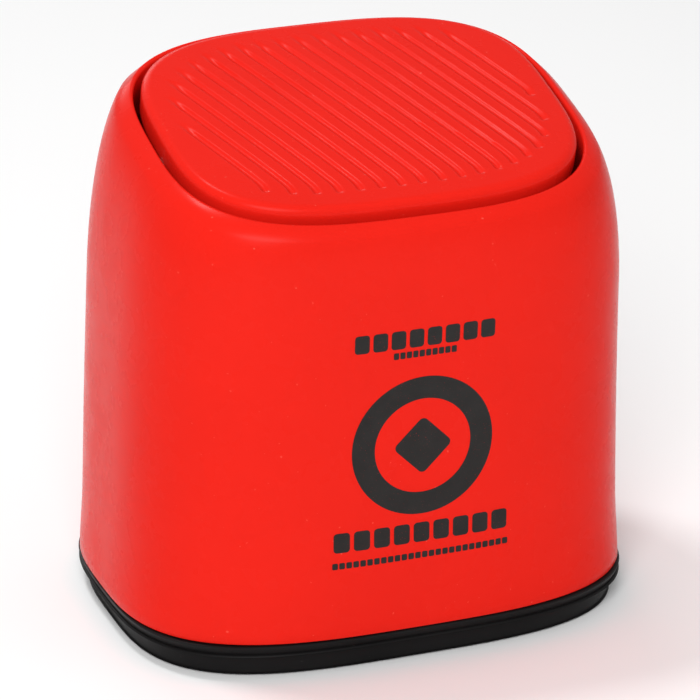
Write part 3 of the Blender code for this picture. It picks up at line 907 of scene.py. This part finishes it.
@dataclass
class Bucket:
    """The grey inner bucket: drafted walls, a rounded floor and an out-turned rim."""

    y: float = -0.0010
    half_w: float = 0.0625
    half_d: float = 0.0465
    corner: float = 3.0
    draft: float = 0.0060
    bottom: float = 0.0048
    top: float = 0.1040
    wall: float = 0.0016
    rim: float = 0.0035
    rim_h: float = 0.0018
    steps: int = 128

    def ring(self, offset: float, z: float) -> Ring:
        """An oval a distance outside the wall at the rim."""
        return Ring(self.half_w + offset, self.half_d + offset, self.y, z)

    def build(self, paints: Paintbox) -> bpy.types.Object:
        """Builds and dresses the bucket.

        Returns:
            The bucket, which stands for its CAD node.
        """
        wall, draft = self.wall, self.draft
        soft = self.rim_h / 3
        rings = [self.ring(-draft - wall, self.bottom)]
        rings += [self.ring(-draft - inset, self.bottom + wall - lift) for lift, inset in fillet(wall, 4)[1:]]
        rings += [
            self.ring(-GAP, self.top - self.rim_h - GAP),
            self.ring(GAP, self.top - self.rim_h),
            self.ring(self.rim - soft, self.top - self.rim_h),
            self.ring(self.rim, self.top - self.rim_h + soft),
            self.ring(self.rim, self.top - soft),
            self.ring(self.rim - soft, self.top),
            self.ring(-wall + soft, self.top),
            self.ring(-wall, self.top - soft),
            self.ring(-draft - wall, self.bottom + 3 * wall),
            self.ring(-draft - 1.6 * wall, self.bottom + 1.6 * wall),
            self.ring(-draft - 3 * wall, self.bottom + wall),
        ]
        bucket = settle(OvalLoft("bucket", self.corner, self.steps).build(rings, Ends.CAPS), 35.0)
        paints.dress(bucket, Slot.GREY)
        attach(bucket, "bucket")
        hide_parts("inner_bucket")
        LOG.info("bucket: %d faces", len(bucket.data.polygons))
        return bucket


@dataclass
class BagRing:
    """The black angle ring that drops over the bucket's rim."""

    bucket: Bucket
    wall: float = 0.0020
    skirt: float = 0.0070

    def build(self, paints: Paintbox) -> bpy.types.Object:
        """Builds and dresses the ring.

        Returns:
            The ring, which stands for its CAD node.
        """
        ring, wall = self.bucket.ring, self.wall
        seat = self.bucket.top + GAP
        out = self.bucket.rim + GAP
        low = seat - self.skirt
        rings = [
            ring(out, low + GAP),
            ring(out + GAP, low),
            ring(out + wall - GAP, low),
            ring(out + wall, low + GAP),
            ring(out + wall, seat + wall - 2 * GAP),
            ring(out + wall - 2 * GAP, seat + wall),
            ring(-self.bucket.wall + GAP, seat + wall),
            ring(-self.bucket.wall, seat + wall - GAP),
            ring(-self.bucket.wall, seat + GAP),
            ring(-self.bucket.wall + GAP, seat),
            ring(out, seat),
        ]
        loft = OvalLoft("bag_holder", self.bucket.corner, self.bucket.steps)
        piece = settle(loft.build(rings, Ends.LOOP), 35.0)
        paints.dress(piece, Slot.BLACK)
        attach(piece, "ring")
        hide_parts("bag_ring")
        LOG.info("bag ring: %d faces", len(piece.data.polygons))
        return piece


# ---------------------------------------------------------------- fittings kept from the CAD


class Fittings:
    """The small pieces whose CAD shape is right: they only get their finish."""

    def __init__(self, replaced: set[str]) -> None:
        """Takes the CAD nodes that a new piece already stands for."""
        self.replaced = replaced

    def dress(self, paints: Paintbox) -> None:
        """Gives every remaining CAD node its slot's material."""
        slots = {part["node"]: Slot(part["material_slot"]) for part in frame["record"]["subparts"]}
        for name, node in frame["nodes"].items():
            if name in self.replaced:
                continue
            for place in node.material_slots:
                place.material = paints.materials[slots[name]]
            if not node.material_slots:
                node.data.materials.append(paints.materials[slots[name]])
            LOG.info("%s: %s", name, slots[name].value)


# ---------------------------------------------------------------- studio


@dataclass(frozen=True)
class SoftLight:
    """A round softbox."""

    name: str
    place: Triple
    aim: Triple
    size: float
    power: float

    def build(self) -> None:
        """Hangs the light and turns it to its aim."""
        light = bpy.data.lights.new(self.name, "AREA")
        light.shape = "DISK"
        light.size = self.size
        light.energy = self.power
        lamp = bpy.data.objects.new(self.name, light)
        bpy.context.scene.collection.objects.link(lamp)
        lamp.location = self.place
        lamp.rotation_euler = (Vector(self.aim) - lamp.location).to_track_quat("-Z", "Y").to_euler()


@dataclass
class Studio:
    """A pale floor, a pale surround, soft lights and the camera."""

    plane: RimPlane
    azimuth: float = math.radians(-20.632)
    elevation: float = math.radians(21.437)
    distance: float = 1.300
    target_z: float = 0.090
    aim_drop: float = 0.008876
    aim_right: float = 0.000666
    lens: float = 208.9
    floor_half: float = 3.0
    surround: float = 0.50
    lights: tuple[SoftLight, ...] = (
        SoftLight("key_light", (-0.68, -1.40, 1.18), (0.0, 0.0, 0.09), 0.90, 21.0),
        SoftLight("top_light", (-0.36, 0.36, 1.55), (0.0, 0.0, 0.09), 0.26, 6.5),
        SoftLight("backdrop_light", (0.00, 2.80, 1.20), (0.55, 2.20, 0.0), 1.60, 18.0),
    )

    def build(self, paints: Paintbox) -> None:
        """Sets up floor, surround, lights and camera."""
        self.build_floor(paints)
        world = bpy.data.worlds.new("pale_surround")
        world.use_nodes = True
        world.node_tree.nodes["Background"].inputs["Color"].default_value = (1.0, 1.0, 1.0, 1.0)
        world.node_tree.nodes["Background"].inputs["Strength"].default_value = self.surround
        bpy.context.scene.world = world
        bpy.context.scene.view_settings.view_transform = "Standard"
        middle = Vector((0.0, self.plane.base_y, self.target_z))
        for light in self.lights:
            light.build()
        self.build_camera(middle)

    def build_floor(self, paints: Paintbox) -> None:
        """A wide plain floor at the foot of the bin."""
        deselect()
        bpy.ops.mesh.primitive_plane_add(size=2 * self.floor_half)
        floor = bpy.context.object
        floor.name = "floor"
        floor.data.materials.append(paints.floor)

    def build_camera(self, middle: Vector) -> None:
        """Places the camera round the bin and aims it a little below the middle."""
        cos_e = math.cos(self.elevation)
        back = Vector((
            math.sin(self.azimuth) * cos_e, -math.cos(self.azimuth) * cos_e, math.sin(self.elevation)))
        right = Vector((math.cos(self.azimuth), math.sin(self.azimuth), 0.0))
        up = back.cross(right)
        data = bpy.data.cameras.new("camera")
        data.lens = self.lens
        data.clip_start = 0.01
        camera = bpy.data.objects.new("camera", data)
        bpy.context.scene.collection.objects.link(camera)
        camera.location = middle + self.distance * back
        aim = middle - self.aim_drop * up + self.aim_right * right
        camera.rotation_euler = (aim - camera.location).to_track_quat("-Z", "Y").to_euler()
        bpy.context.scene.camera = camera


def main() -> None:
    """Builds the bin's pieces in order, then the studio."""
    logging.basicConfig(level=logging.INFO, format="%(message)s")
    paints = Paintbox()
    plane = RimPlane()
    cover = Cover(plane)
    shell = cover.build(paints)
    FrontPrint(cover).build(shell, paints)
    SwingLid(plane).build(paints)
    Base(plane).build(paints)
    bucket = Bucket()
    bucket.build(paints)
    BagRing(bucket).build(paints)
    Fittings({"cover_shell", "lid_panel", "base_tray", "inner_bucket", "bag_ring"}).dress(paints)
    Studio(plane).build(paints)


if __name__ == "__main__":
    main()
